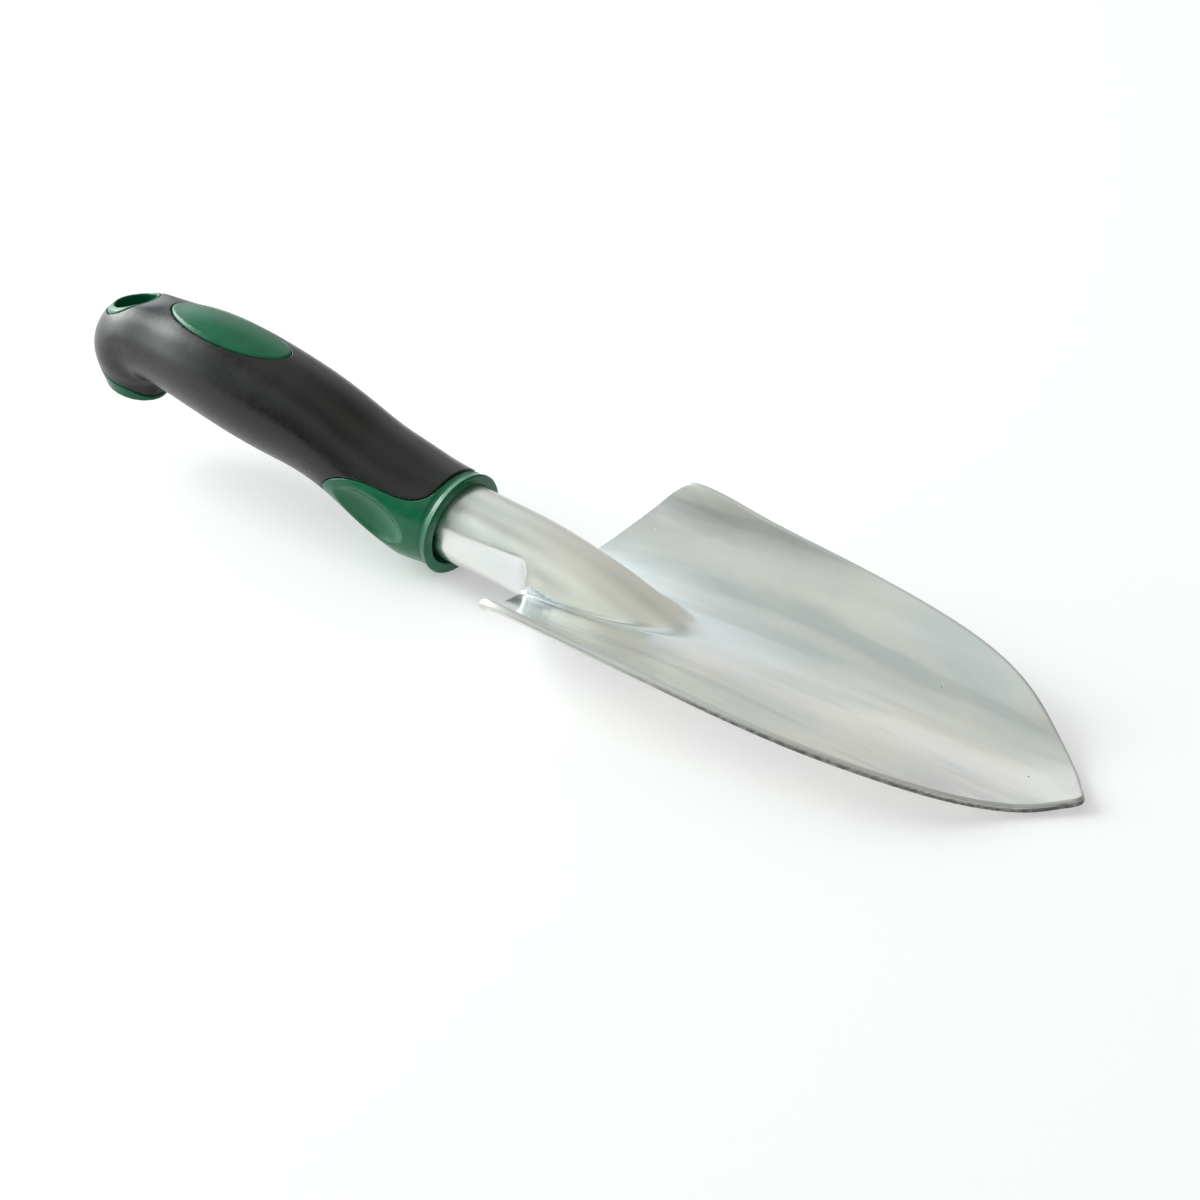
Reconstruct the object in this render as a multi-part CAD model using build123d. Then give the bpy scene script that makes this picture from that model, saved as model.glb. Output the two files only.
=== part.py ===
from build123d import *

import math
import os

import numpy as np

# Hand trowel: a cast aluminium scoop pressed into a green plastic handle core, which
# carries a soft rubber grip moulded over it.
#
# Frame (millimetres): +X points to the blade's tip, +Z up, Y across, symmetric about y = 0.
# The trowel lies blade-up on the plane z = 0, on the belly of the blade near its tip and on the
# lowest point of the collar. The origin is the middle of its length, on that plane.
# Along the trowel a station s is the distance back from the tip, so x = TIP_X - s.

# ---- driving dimensions -------------------------------------------------------------------
TIP_X = 160.8            # half the overall length
BLADE_T = 2.2            # wall of the dished blade
BLADE_HALF_W = 40.1      # half the blade's width, at its rear corners
COLLAR_S, COLLAR_Z = 191.8, 13.785      # centre of the collar's front ring
COLLAR_TILT = 11.2       # the collar's axis dips this much towards the tip (degrees)
LIP_R, LIP_LEN, LIP_ROUND = 14.2, 2.6, 0.8
RECESS_R, RECESS_DEPTH = 11.3, 6.0     # clearance ring round the neck, inside the collar
TANG_LEN = 50.0
TANG_ROOT = (14.0, 11.0)               # width, height
TANG_END = (11.0, 8.0)
GROOVE_W, GROOVE_D = 4.0, 1.4          # the tang's locking grooves
GRIP_T = 2.6             # thickness of the moulded rubber
HOLE_R = 5.7             # hang hole
BOSS_R, BOSS_SHIFT = 7.4, 0.8          # green rim round the hang hole, set a little further back
HOLE_TOP = (308.5, 47.0) # (s, z) where the hole's axis leaves the top
HOLE_BOTTOM = (310.3, 19.0)
FOOT_S, FOOT_Z = 310.6, 19.9           # middle of the underside of the pommel's foot
FOOT_TILT = -77.6                      # the foot rises towards its rear
BAND, BAND_SLOPE = 3.6, 0.45           # green band of the foot: height at its middle, slope of its border
OVAL_S, OVAL_A, OVAL_B = 272.5, 20.8, 7.7
DIMPLE_S, DIMPLE_ANGLE, DIMPLE_TILT = 213.3, -11.0, 11.0
DIMPLE_OUT = 18.2                      # distance of the dimple ellipsoid's centre from the axis
DIMPLE_AXES = (15.5, 7.0, 9.0)
CORE_T = 3.2             # wall left over the channel cored out of the neck's underside

os.makedirs("parts", exist_ok=True)


# ---- helpers ------------------------------------------------------------------------------
def spl(xs, ys):
    """Natural cubic spline through the knots, as a function."""
    xs, ys = np.asarray(xs, float), np.asarray(ys, float)
    n, h = len(xs), np.diff(xs)
    a, r = np.zeros((n, n)), np.zeros(n)
    a[0, 0] = a[-1, -1] = 1
    for i in range(1, n - 1):
        a[i, i - 1], a[i, i], a[i, i + 1] = h[i - 1], 2 * (h[i - 1] + h[i]), h[i]
        r[i] = 6 * ((ys[i + 1] - ys[i]) / h[i] - (ys[i] - ys[i - 1]) / h[i - 1])
    m = np.linalg.solve(a, r)

    def f(x):
        x = np.asarray(x, float)
        i = np.clip(np.searchsorted(xs, x) - 1, 0, n - 2)
        p, q, hh = xs[i + 1] - x, x - xs[i], h[i]
        return ((m[i] * p**3 + m[i + 1] * q**3) / (6 * hh)
                + (ys[i] / hh - m[i] * hh / 6) * p + (ys[i + 1] / hh - m[i + 1] * hh / 6) * q)
    return f


def at(s, y, z):
    return (TIP_X - s, y, z)


def section(s, z, tilt, half_h, half_w, n=24):
    """Closed oval wire whose plane leans its top towards the tip by tilt degrees."""
    t = math.radians(tilt)
    pts = []
    for k in range(n):
        a = 2 * math.pi * k / n
        u, v = half_w * math.cos(a), half_h * math.sin(a)
        pts.append(at(s - v * math.sin(t), u, z + v * math.cos(t)))
    return Wire([Edge.make_spline([Vector(*p) for p in pts], periodic=True)])


def loft_of(sections):
    return Solid.make_loft([section(*q) for q in sections], False)


# ---- scoop: the dished blade --------------------------------------------------------------
# valley height of the upper face, half-width, rise from valley to edge, section exponent
VALLEY = spl([-12, 0, 18, 40, 70, 100, 120, 145, 165, 185, 206],
             [4.2, 3.0, 2.2, 3.2, 5.3, 7.1, 7.7, 7.5, 6.9, 6.8, 6.8])
HALF = spl([-12, 12, 20, 30, 45, 60, 100, 130, 150, 185, 206],
           [13.3, 13.3, 19.3, 25.9, 32, 35.2, 38.2, 39.4, 40.3, 41, 41])
RISE = spl([-12, 12, 20, 30, 60, 100, 130, 150, 165, 185, 206],
           [-0.4, 0.5, 2.4, 5.2, 9.1, 11.6, 14.3, 17.2, 19.0, 21, 22])
POWER = spl([-12, 12, 40, 80, 120, 160, 185, 206], [1.5, 1.5, 1.7, 1.95, 2.3, 2.7, 2.8, 2.8])
ROUND = spl([-12, 40, 100, 185, 206], [2.5, 3, 4, 5, 5])


def dish(s, y):
    b, p, w = ROUND(s), POWER(s), HALF(s)
    return VALLEY(s) + RISE(s) * (((y * y + b * b) ** (p / 2) - b**p)
                                  / ((w * w + b * b) ** (p / 2) - b**p))


def dish_point(s, y, off=0.0):
    """A point of the dish's upper face, moved down its normal by off."""
    z, e = float(dish(s, y)), 1e-3
    if off == 0.0:
        return at(s, y, z)
    zs = (float(dish(s + e, y)) - float(dish(s - e, y))) / (2 * e)
    zy = (float(dish(s, y + e)) - float(dish(s, y - e))) / (2 * e)
    n = math.sqrt(1 + zs * zs + zy * zy)
    return (TIP_X - s - off * zs / n, y + off * zy / n, z - off / n)


def below(off, s_lo=-9.0, s_hi=204.0, y_max=45.0, depth=45.0):
    """Everything under the dish's face (lowered by off), as a solid."""
    rows = [[dish_point(s, y, off) for y in np.linspace(-y_max, y_max, 37)]
            for s in np.linspace(s_lo, s_hi, 56)]
    face = Face.make_surface_from_array_of_points(
        [[Vector(*p) for p in r] for r in rows], tol=0.01, min_deg=3, max_deg=3)
    return Solid.extrude(face, Vector(0, 0, -depth))


SIDE = [(0, 0), (0.7, 1.9), (2, 3.4), (6, 7.9), (12, 13.4), (20, 19.4), (32, 26.8), (48, 32.8),
        (70, 36.6), (95, 38.2), (125, 39.4), (144.6, BLADE_HALF_W)]
REAR = [(149.2, 39.3), (152.2, 37.0), (154.8, 33.5), (158, 28.5), (161, 22), (163, 16),
        (163.8, 9.0)]
half = SIDE + REAR
ring_pts = [at(s, -y, -20) for s, y in reversed(half[1:])] + [at(s, y, -20) for s, y in half]
outline = Wire([Edge.make_spline([Vector(*p) for p in ring_pts]),
                Edge.make_line(Vector(*ring_pts[-1]), Vector(*ring_pts[0]))])
plan = Solid.extrude(Face(outline), Vector(0, 0, 80))

under_top = below(0.0)
under_bottom = below(BLADE_T)
blade = (under_top - under_bottom) & plan

# ---- scoop: neck and tongue, one round bar that dips into the dish -------------------------
CREST = spl([100, 108, 116, 125, 133, 141, 148.6, 158.4, 165, 179.4, 192, 202],
            [2.0, 5.0, 7.9, 10.8, 13.6, 16.3, 18.5, 20.9, 22.2, 24.0, 25.3, 26.2])
BAR_R = spl([100, 116, 133, 148, 165, 192, 202], [10.0, 10.1, 10.3, 10.5, 10.7, 10.7, 10.7])
bar = loft_of([(s, float(CREST(s) - BAR_R(s)), 0, float(BAR_R(s)), float(BAR_R(s)))
               for s in (103, 110, 118, 126, 134, 142, 150, 160, 170, 182, 192, 201)])

# the two flats beside the neck, ending in a rounded step at the blade
FLAT = [(206, 10.75), (196, 10.55), (188, 10.45), (180, 10.2), (171.5, 9.75), (166, 9.35),
        (162.2, 9.0)]
flat_edge = Edge.make_spline([Vector(*at(s, y, -10)) for s, y in FLAT])
step = Edge.make_three_point_arc(Vector(*at(162.2, 9.0, -10)), Vector(*at(160.75, 9.6, -10)),
                                 Vector(*at(160.2, 10.8, -10)))
cut_plan = Face(Wire([flat_edge, step,
                      Edge.make_line(Vector(*at(160.2, 10.8, -10)), Vector(*at(160.2, 20, -10))),
                      Edge.make_line(Vector(*at(160.2, 20, -10)), Vector(*at(206, 20, -10))),
                      Edge.make_line(Vector(*at(206, 20, -10)), Vector(*at(206, 10.75, -10)))]))
cut_far = Solid.extrude(cut_plan, Vector(0, 0, 45))
# side profile of the cut: its upper front corner is rounded off
TOP_Z, CORNER = 17.6, 4.5
side_cut = Face(Wire([
    Edge.make_line(Vector(*at(206, -30, -10)), Vector(*at(160.2, -30, -10))),
    Edge.make_line(Vector(*at(160.2, -30, -10)), Vector(*at(160.2, -30, TOP_Z - CORNER))),
    Edge.make_three_point_arc(
        Vector(*at(160.2, -30, TOP_Z - CORNER)),
        Vector(*at(160.2 + CORNER * (1 - math.sqrt(0.5)), -30, TOP_Z - CORNER * (1 - math.sqrt(0.5)))),
        Vector(*at(160.2 + CORNER, -30, TOP_Z))),
    Edge.make_line(Vector(*at(160.2 + CORNER, -30, TOP_Z)), Vector(*at(206, -30, TOP_Z))),
    Edge.make_line(Vector(*at(206, -30, TOP_Z)), Vector(*at(206, -30, -10)))]))
side_prism = Solid.extrude(side_cut, Vector(0, 60, 0))
cut_far = cut_far & side_prism
cut_near = cut_far.mirror(Plane.XZ)

# the plane of the recess floor inside the collar, where the neck stops and the tang starts
tilt = math.radians(COLLAR_TILT)
BACK = Vector(-math.cos(tilt), 0, math.sin(tilt))
collar_plane = Plane(origin=Vector(*at(COLLAR_S, 0, COLLAR_Z)), x_dir=(0, 1, 0), z_dir=BACK)


def collar_cyl(r, z0, z1):
    return Solid.make_cylinder(r, z1 - z0, Plane(origin=collar_plane.from_local_coords((0, 0, z0)),
                                                 x_dir=(0, 1, 0), z_dir=BACK))


behind = Solid.make_box(80, 80, 40, Plane(
    origin=collar_plane.from_local_coords((-40, -40, RECESS_DEPTH)), x_dir=(0, 1, 0), z_dir=BACK))
neck = bar - under_bottom - cut_far - cut_near - behind

# channel cored out of the underside of neck and tongue
def channel_wire(s):
    r, zc, pts = float(BAR_R(s)) - CORE_T, float(CREST(s) - BAR_R(s)), []
    for k in range(32):
        c, v = math.cos(2 * math.pi * k / 32), math.sin(2 * math.pi * k / 32)
        if v < -1e-9:                      # straight sides, running out below the casting
            pts.append(at(s, r * math.copysign(abs(c) ** 0.6, c), zc + (zc + 9) * v))
        else:
            pts.append(at(s, r * c, zc + r * v))
    return Wire([Edge.make_spline([Vector(*p) for p in pts], periodic=True)])


channel = Solid.make_loft([channel_wire(s) for s in (112, 120, 128, 136, 144, 152, 160, 170, 179, 186)],
                          False)

# tang with two pairs of locking grooves
def tang_wire(w, h, z):
    pl = Plane(origin=collar_plane.from_local_coords((0, 0, z)), x_dir=(0, 1, 0), z_dir=BACK)
    return (pl * RectangleRounded(w, h, 2.0)).wire()


tang = Solid.make_loft([tang_wire(*TANG_ROOT, RECESS_DEPTH),
                        tang_wire(*TANG_END, RECESS_DEPTH + TANG_LEN)], True)
for z in (RECESS_DEPTH + 18, RECESS_DEPTH + 34):
    for side in (1, -1):
        pl = Plane(origin=collar_plane.from_local_coords((0, 0, z)), x_dir=(0, 1, 0), z_dir=BACK)
        half_h = TANG_ROOT[1] / 2 - (TANG_ROOT[1] - TANG_END[1]) / 2 * (z - RECESS_DEPTH) / TANG_LEN
        y0 = half_h - GROOVE_D if side > 0 else -half_h - 6 + GROOVE_D
        box = Solid.make_box(20, 6, GROOVE_W, Plane(
            origin=pl.from_local_coords((-10, y0, 0)), x_dir=(0, 1, 0), z_dir=BACK))
        tang = tang - box

scoop = (blade + neck) - channel + tang

# ---- handle: outer body, inner core and the rubber between ---------------------------------
# (s, z, tilt, half-height, half-width): a gently S-shaped bar that hooks down at the pommel
BODY = [
    (195.2, 14.55, 10.0, 13.75, 13.75),
    (203.0, 15.15, 5.0, 14.3, 14.3),
    (210.0, 16.8, 0.0, 14.55, 14.55),
    (220.0, 20.1, 0.0, 14.1, 14.1),
    (230.0, 24.4, 0.0, 13.75, 13.75),
    (242.0, 28.4, 0.0, 13.9, 13.9),
    (256.0, 31.1, 0.0, 14.5, 14.5),
    (270.0, 33.6, 0.0, 14.5, 14.5),
    (284.0, 35.5, 0.0, 13.5, 13.5),
    (298.0, 36.5, 0.0, 12.1, 12.0),
    (307.2, 35.0, -30.0, 12.3, 11.6),
    (311.5, 29.4, -58.0, 11.6, 10.9),
    (311.5, 24.6, -75.0, 9.9, 9.3),
    (FOOT_S, FOOT_Z, FOOT_TILT, 9.0, 8.1),
]
body = loft_of(BODY)
INNER = [(s, z, t, h - GRIP_T, w - GRIP_T) for s, z, t, h, w in BODY]
INNER[-1] = (FOOT_S - 0.4, FOOT_Z - 2.0, FOOT_TILT, 9.0 - GRIP_T, 8.1 - GRIP_T)
INNER[0] = (193.0, 14.1, 10.0, 13.75 - GRIP_T, 13.75 - GRIP_T)
inner = loft_of(INNER)

# side profile of the rubber: its front edge sweeps back over the dimple
FRONT = [(192.4, 60), (192.6, 40), (193.0, 30), (193.4, 27), (194.4, 25.1), (196.3, 23.8),
         (199, 23.0), (202, 22.8), (206, 23.1), (211, 23.8), (217, 24.1), (222.5, 23.3),
         (226.5, 21.6), (229.5, 18.8), (231, 15.4), (231.2, 11), (230.6, 4), (230.4, -6)]
front_edge = Edge.make_spline([Vector(*at(s, -30, z)) for s, z in FRONT])
border = [(q, FOOT_Z + BAND + BAND_SLOPE * (q - FOOT_S)) for q in (298.5, 335)]
corners = [FRONT[-1], (297.0, -6), *border, (335, 60), FRONT[0]]
zone_edges = [front_edge] + [
    Edge.make_line(Vector(*at(a[0], -30, a[1])), Vector(*at(b[0], -30, b[1])))
    for a, b in zip(corners, corners[1:])]
zone = Solid.extrude(Face(Wire(zone_edges)), Vector(0, 60, 0))

oval_edge = Edge.make_spline([Vector(*at(OVAL_S + OVAL_A * math.cos(a), OVAL_B * math.sin(a), 38))
                              for a in np.linspace(0, 2 * math.pi, 32, endpoint=False)],
                             periodic=True)
oval = Solid.extrude(Face(Wire([oval_edge])), Vector(0, 0, 25))

hole_top, hole_bottom = Vector(*at(HOLE_TOP[0], 0, HOLE_TOP[1])), Vector(*at(HOLE_BOTTOM[0], 0, HOLE_BOTTOM[1]))
hole_dir = (hole_top - hole_bottom).normalized()
hole = Solid.make_cylinder(HOLE_R, 60, Plane(origin=hole_bottom - hole_dir * 15, z_dir=hole_dir))
boss = Solid.make_cylinder(BOSS_R, 30, Plane(
    origin=hole_bottom + hole_dir * 19 - Vector(BOSS_SHIFT, 0, 0), z_dir=hole_dir))

lip = collar_cyl(LIP_R, 0, LIP_LEN)
lip = lip.fillet(LIP_ROUND, lip.edges().filter_by(GeomType.CIRCLE))
neck_in = collar_cyl(13.75, 1.0, 3.9) + collar_cyl(RECESS_R + 0.9, 0.5, RECESS_DEPTH + 2)
grip = ((body - inner) & zone) - oval - boss - hole - lip - neck_in
grip_sleeve = max(grip.solids(), key=lambda q: q.volume)
recess = collar_cyl(RECESS_R, -5, RECESS_DEPTH)


def ellipsoid(side):
    a = math.radians(DIMPLE_ANGLE)
    z_axis = float(spl([210, 220], [16.8, 20.1])(DIMPLE_S))
    ball = scale(Sphere(1), by=(DIMPLE_AXES[0], DIMPLE_AXES[1], DIMPLE_AXES[2]))
    ball = Rot(0, DIMPLE_TILT, 0) * ball
    p = at(DIMPLE_S, side * DIMPLE_OUT * math.cos(a), z_axis + DIMPLE_OUT * math.sin(a))
    return Pos(*p) * ball


core = (body - grip_sleeve) + lip + neck_in
core = core - recess - hole - tang - ellipsoid(1) - ellipsoid(-1)
handle_core = max(core.solids(), key=lambda q: q.volume)
scoop_solid = max(scoop.solids(), key=lambda q: q.volume)

for name, solid in (("scoop", scoop_solid), ("handle_core", handle_core), ("grip_sleeve", grip_sleeve)):
    print(name, "valid", solid.is_valid, "volume", round(solid.volume), solid.bounding_box())
    export_step(solid, "parts/%s.step" % name)
print("scoop pieces", len(scoop.solids()), "core pieces", [round(q.volume, 1) for q in core.solids()],
      "grip pieces", [round(q.volume, 1) for q in grip.solids()])
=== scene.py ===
"""Looks of the hand trowel: a polished cast aluminium scoop, a green plastic core and a dark
rubber grip moulded over it. Each visible piece is built here as one closed, finely meshed body
from its own shape function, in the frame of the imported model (millimetres inside the functions,
metres in Blender). Along the trowel s = TIP_X - x is the distance back from the tip.
"""

import math
import time
from concurrent.futures import ThreadPoolExecutor

import bpy
import numpy as np
from mathutils import Matrix, Vector


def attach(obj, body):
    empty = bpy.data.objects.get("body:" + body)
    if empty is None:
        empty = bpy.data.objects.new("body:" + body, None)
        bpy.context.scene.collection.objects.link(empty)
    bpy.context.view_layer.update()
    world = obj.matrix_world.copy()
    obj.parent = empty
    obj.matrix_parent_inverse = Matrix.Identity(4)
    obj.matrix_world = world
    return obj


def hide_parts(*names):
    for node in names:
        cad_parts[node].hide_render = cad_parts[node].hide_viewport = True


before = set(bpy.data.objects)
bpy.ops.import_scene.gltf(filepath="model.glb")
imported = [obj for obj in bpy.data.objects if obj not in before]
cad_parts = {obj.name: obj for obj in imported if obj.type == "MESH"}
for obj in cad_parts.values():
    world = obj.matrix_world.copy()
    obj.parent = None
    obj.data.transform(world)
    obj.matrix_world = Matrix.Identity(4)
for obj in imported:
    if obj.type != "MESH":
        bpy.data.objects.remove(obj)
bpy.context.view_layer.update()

TIP_X = 160.8


# =============================================================================================
# small toolkit: splines, smooth joins, meshing of a shape function
# =============================================================================================
def spl(xs, ys):
    """Natural cubic spline through the knots, as a function; straight beyond the ends."""
    xs, ys = np.asarray(xs, float), np.asarray(ys, float)
    n, h = len(xs), np.diff(xs)
    a, r = np.zeros((n, n)), np.zeros(n)
    a[0, 0] = a[-1, -1] = 1
    for i in range(1, n - 1):
        a[i, i - 1], a[i, i], a[i, i + 1] = h[i - 1], 2 * (h[i - 1] + h[i]), h[i]
        r[i] = 6 * ((ys[i + 1] - ys[i]) / h[i] - (ys[i] - ys[i - 1]) / h[i - 1])
    m = np.linalg.solve(a, r)
    s0 = (ys[1] - ys[0]) / h[0] - h[0] * m[1] / 6
    s1 = (ys[-1] - ys[-2]) / h[-1] + h[-1] * m[-2] / 6

    def f(x):
        x = np.asarray(x, float)
        xc = np.clip(x, xs[0], xs[-1])
        i = np.clip(np.searchsorted(xs, xc) - 1, 0, n - 2)
        p, q, hh = xs[i + 1] - xc, xc - xs[i], h[i]
        v = ((m[i] * p**3 + m[i + 1] * q**3) / (6 * hh)
             + (ys[i] / hh - m[i] * hh / 6) * p + (ys[i + 1] / hh - m[i + 1] * hh / 6) * q)
        return v + np.minimum(x - xs[0], 0) * s0 + np.maximum(x - xs[-1], 0) * s1
    return f


def quickly(f, lo, hi, step=0.02):
    """The same function of one variable from a fine table."""
    xs = np.arange(lo, hi + step, step)
    ys = f(xs)

    def g(x):
        u = (np.asarray(x, float) - lo) * (1 / step)
        i = np.clip(u.astype(np.int64), 0, len(xs) - 2)
        y0 = ys[i]
        return y0 + (ys[i + 1] - y0) * (u - i)
    return g


def grid_table(values, x0, y0, step):
    """Bilinear look-up in a square-celled table."""
    nx, ny = values.shape
    flat = np.ascontiguousarray(values).ravel()

    def g(x, y):
        u = np.clip((x - x0) * (1 / step), 0, nx - 1.001)
        v = np.clip((y - y0) * (1 / step), 0, ny - 1.001)
        i, j = u.astype(np.int64), v.astype(np.int64)
        a, b = u - i, v - j
        k = i * ny + j
        p, q = flat[k], flat[k + ny]
        p = p + (flat[k + 1] - p) * b
        q = q + (flat[k + ny + 1] - q) * b
        return p + (q - p) * a
    return g


POOL = ThreadPoolExecutor(4)


def spread(f, p, size=16000):
    """f over many points, worked out in blocks side by side."""
    if len(p) <= size:
        return f(p)
    return np.concatenate(list(POOL.map(f, [p[i:i + size] for i in range(0, len(p), size)])))


def smax(a, b, k):
    h = np.maximum(k - np.abs(a - b), 0.0) / k
    return np.maximum(a, b) + h * h * (k / 4)


def smin(a, b, k):
    h = np.maximum(k - np.abs(a - b), 0.0) / k
    return np.minimum(a, b) - h * h * (k / 4)


def gradient(f, p, e=0.02):
    g = np.empty_like(p)
    for k in range(3):
        d = np.zeros(3)
        d[k] = e
        g[:, k] = (f(p + d) - f(p - d)) / (2 * e)
    return g


def value_and_gradient(f, p, e=0.02):
    v, g = f(p), np.empty_like(p)
    for k in range(3):
        d = np.zeros(3)
        d[k] = e
        g[:, k] = (f(p + d) - v) / e
    return v, g


def nets(shape, lo, hi, h, rounds=3):
    """Closed quad mesh of shape = 0 (below 0 inside), its points on the surface, with exact normals."""
    started = time.time()
    f = lambda p: spread(shape, p)
    B = 6                                                  # nodes per block side
    lo = np.asarray(lo, float)
    nb = [int(math.ceil((hi[k] - lo[k]) / (h * B))) for k in range(3)]
    n = [B * q for q in nb]
    # blocks that the surface can't reach are filled with the sign at their middle
    bi = np.stack(np.meshgrid(*[np.arange(q) for q in nb], indexing="ij"), -1).reshape(-1, 3)
    fc = f(lo + h * (bi * B + (B - 1) / 2))
    near = np.abs(fc) < 1.35 * h * B * math.sqrt(3) / 2 + 0.6
    vol = np.where(fc < 0, -9.0, 9.0).astype(np.float32).reshape(nb)
    vol = vol.repeat(B, 0).repeat(B, 1).repeat(B, 2)
    cell = np.stack(np.meshgrid(*[np.arange(B)] * 3, indexing="ij"), -1).reshape(-1, 3)
    picked = bi[near]
    for i in range(0, len(picked), 3000):
        node = (picked[i:i + 3000, None] * B + cell[None]).reshape(-1, 3)
        vol[node[:, 0], node[:, 1], node[:, 2]] = f(lo + h * node)
    ins = vol < 0
    tot = np.zeros([q - 1 for q in n], np.int8)
    for di in (0, 1):
        for dj in (0, 1):
            for dk in (0, 1):
                tot += ins[di:n[0] - 1 + di, dj:n[1] - 1 + dj, dk:n[2] - 1 + dk]
    act = (tot > 0) & (tot < 8)
    index = np.full(act.shape, -1, np.int64)
    cells = np.argwhere(act)
    index[act] = np.arange(len(cells))
    corner = {}
    for di in (0, 1):
        for dj in (0, 1):
            for dk in (0, 1):
                corner[di, dj, dk] = vol[cells[:, 0] + di, cells[:, 1] + dj, cells[:, 2] + dk].astype(float)
    acc, cnt = np.zeros((len(cells), 3)), np.zeros(len(cells))
    for axis in range(3):
        o = [k for k in range(3) if k != axis]
        for u in (0, 1):
            for v in (0, 1):
                c0 = [0, 0, 0]
                c0[o[0]], c0[o[1]] = u, v
                c1 = list(c0)
                c1[axis] = 1
                a, b = corner[tuple(c0)], corner[tuple(c1)]
                hit = (a < 0) != (b < 0)
                s = np.where(hit, a / np.where(hit, a - b, 1), 0)
                q = np.array(c0, float) + np.zeros((len(cells), 3))
                q[:, axis] += s
                acc += q * hit[:, None]
                cnt += hit
    V = lo + h * (cells + acc / cnt[:, None])
    faces = []
    rings = {0: ((0, -1, -1), (0, 0, -1), (0, 0, 0), (0, -1, 0)),
             1: ((-1, 0, -1), (-1, 0, 0), (0, 0, 0), (0, 0, -1)),
             2: ((-1, -1, 0), (0, -1, 0), (0, 0, 0), (-1, 0, 0))}
    for axis in range(3):
        sl0, sl1 = [slice(None)] * 3, [slice(None)] * 3
        sl0[axis], sl1[axis] = slice(0, -1), slice(1, None)
        a, b = ins[tuple(sl0)], ins[tuple(sl1)]
        for here, flip in ((a & ~b, False), (~a & b, True)):
            e = np.argwhere(here)
            quad = np.stack([index[e[:, 0] + d[0], e[:, 1] + d[1], e[:, 2] + d[2]]
                             for d in rings[axis]], 1)
            faces.append(quad[:, ::-1] if flip else quad)
    F = np.concatenate(faces)
    e = np.concatenate([F[:, [0, 1]], F[:, [1, 2]], F[:, [2, 3]], F[:, [3, 0]]])
    e = np.unique(np.sort(e, 1), axis=0)
    deg = np.bincount(e[:, 0], minlength=len(V)) + np.bincount(e[:, 1], minlength=len(V))

    def step(v, g, cap):
        d = (v / np.maximum((g * g).sum(1), 0.05))[:, None] * g
        size = np.linalg.norm(d, axis=1)
        return d * np.minimum(1, cap / np.maximum(size, 1e-9))[:, None]
    for _ in range(2):
        v, g = value_and_gradient(f, V)
        V = V - step(v, g, 0.5 * h)
    for _ in range(rounds):
        v, g = value_and_gradient(f, V)
        V = V - step(v, g, 0.4 * h)
        sums = np.zeros_like(V)
        for k in range(3):
            sums[:, k] = (np.bincount(e[:, 0], V[e[:, 1], k], len(V))
                          + np.bincount(e[:, 1], V[e[:, 0], k], len(V)))
        u = g / np.maximum(np.linalg.norm(g, axis=1), 1e-9)[:, None]
        d = sums / deg[:, None] - V
        V = V + 0.5 * (d - (d * u).sum(1)[:, None] * u)
    v, g = value_and_gradient(f, V)
    V = V - step(v, g, 0.3 * h)
    g = gradient(f, V, 0.05)
    print("meshed", shape.__name__, len(V), "points in", round(time.time() - started, 1), "s")
    return V, F, g / np.maximum(np.linalg.norm(g, axis=1), 1e-9)[:, None]


def mesh_object(name, V, F, N):
    me = bpy.data.meshes.new(name)
    me.vertices.add(len(V))
    me.vertices.foreach_set("co", (V / 1000).astype(np.float32).ravel())
    me.loops.add(F.size)
    me.loops.foreach_set("vertex_index", F.astype(np.int32).ravel())
    me.polygons.add(len(F))
    me.polygons.foreach_set("loop_start", (np.arange(len(F)) * 4).astype(np.int32))
    me.polygons.foreach_set("use_smooth", np.ones(len(F), bool))
    me.update(calc_edges=True)
    me.validate(clean_customdata=False)
    me.normals_split_custom_set_from_vertices([tuple(q) for q in N])
    ob = bpy.data.objects.new(name, me)
    bpy.context.scene.collection.objects.link(ob)
    return ob


# =============================================================================================
# scoop
# =============================================================================================
BLADE_T = 2.2
COLLAR_S, COLLAR_Z, COLLAR_TILT = 191.8, 13.785, math.radians(11.2)
RECESS_R, RECESS_DEPTH, TANG_LEN = 11.3, 6.0, 50.0
VALLEY = spl([-12, 0, 18, 40, 70, 100, 120, 145, 165, 185, 206],
             [4.2, 3.0, 2.2, 3.2, 5.3, 7.1, 7.7, 7.5, 6.9, 6.8, 6.8])
HALF = spl([-12, 12, 20, 30, 45, 60, 100, 130, 150, 185, 206],
           [13.3, 13.3, 19.3, 25.9, 32, 35.2, 38.2, 39.4, 40.3, 41, 41])
RISE = spl([-12, 12, 20, 30, 60, 100, 130, 150, 165, 185, 206],
           [-0.4, 0.5, 2.4, 5.2, 9.1, 11.6, 14.3, 17.2, 19.0, 21, 22])
POWER = spl([-12, 12, 40, 80, 120, 160, 185, 206], [1.5, 1.5, 1.7, 1.95, 2.3, 2.7, 2.8, 2.8])
ROUND = spl([-12, 40, 100, 185, 206], [2.5, 3, 4, 5, 5])
CREST = spl([100, 108, 116, 125, 133, 141, 148.6, 158.4, 165, 179.4, 192, 202],
            [2.0, 5.0, 7.9, 10.8, 13.6, 16.3, 18.5, 20.9, 22.2, 24.0, 25.3, 26.2])
BAR_R = spl([100, 116, 133, 148, 165, 192, 202], [10.0, 10.1, 10.3, 10.5, 10.7, 10.7, 10.7])
FLAT_Y = spl([155, 160.2, 162.2, 166, 171.5, 180, 188, 196, 206],
             [8.7, 8.9, 9.0, 9.35, 9.75, 10.2, 10.45, 10.55, 10.75])
SIDE = [(0, 0), (0.7, 1.9), (2, 3.4), (6, 7.9), (12, 13.4), (20, 19.4), (32, 26.8), (48, 32.8),
        (70, 36.6), (95, 38.2), (125, 39.4), (144.6, 40.1)]
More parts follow.
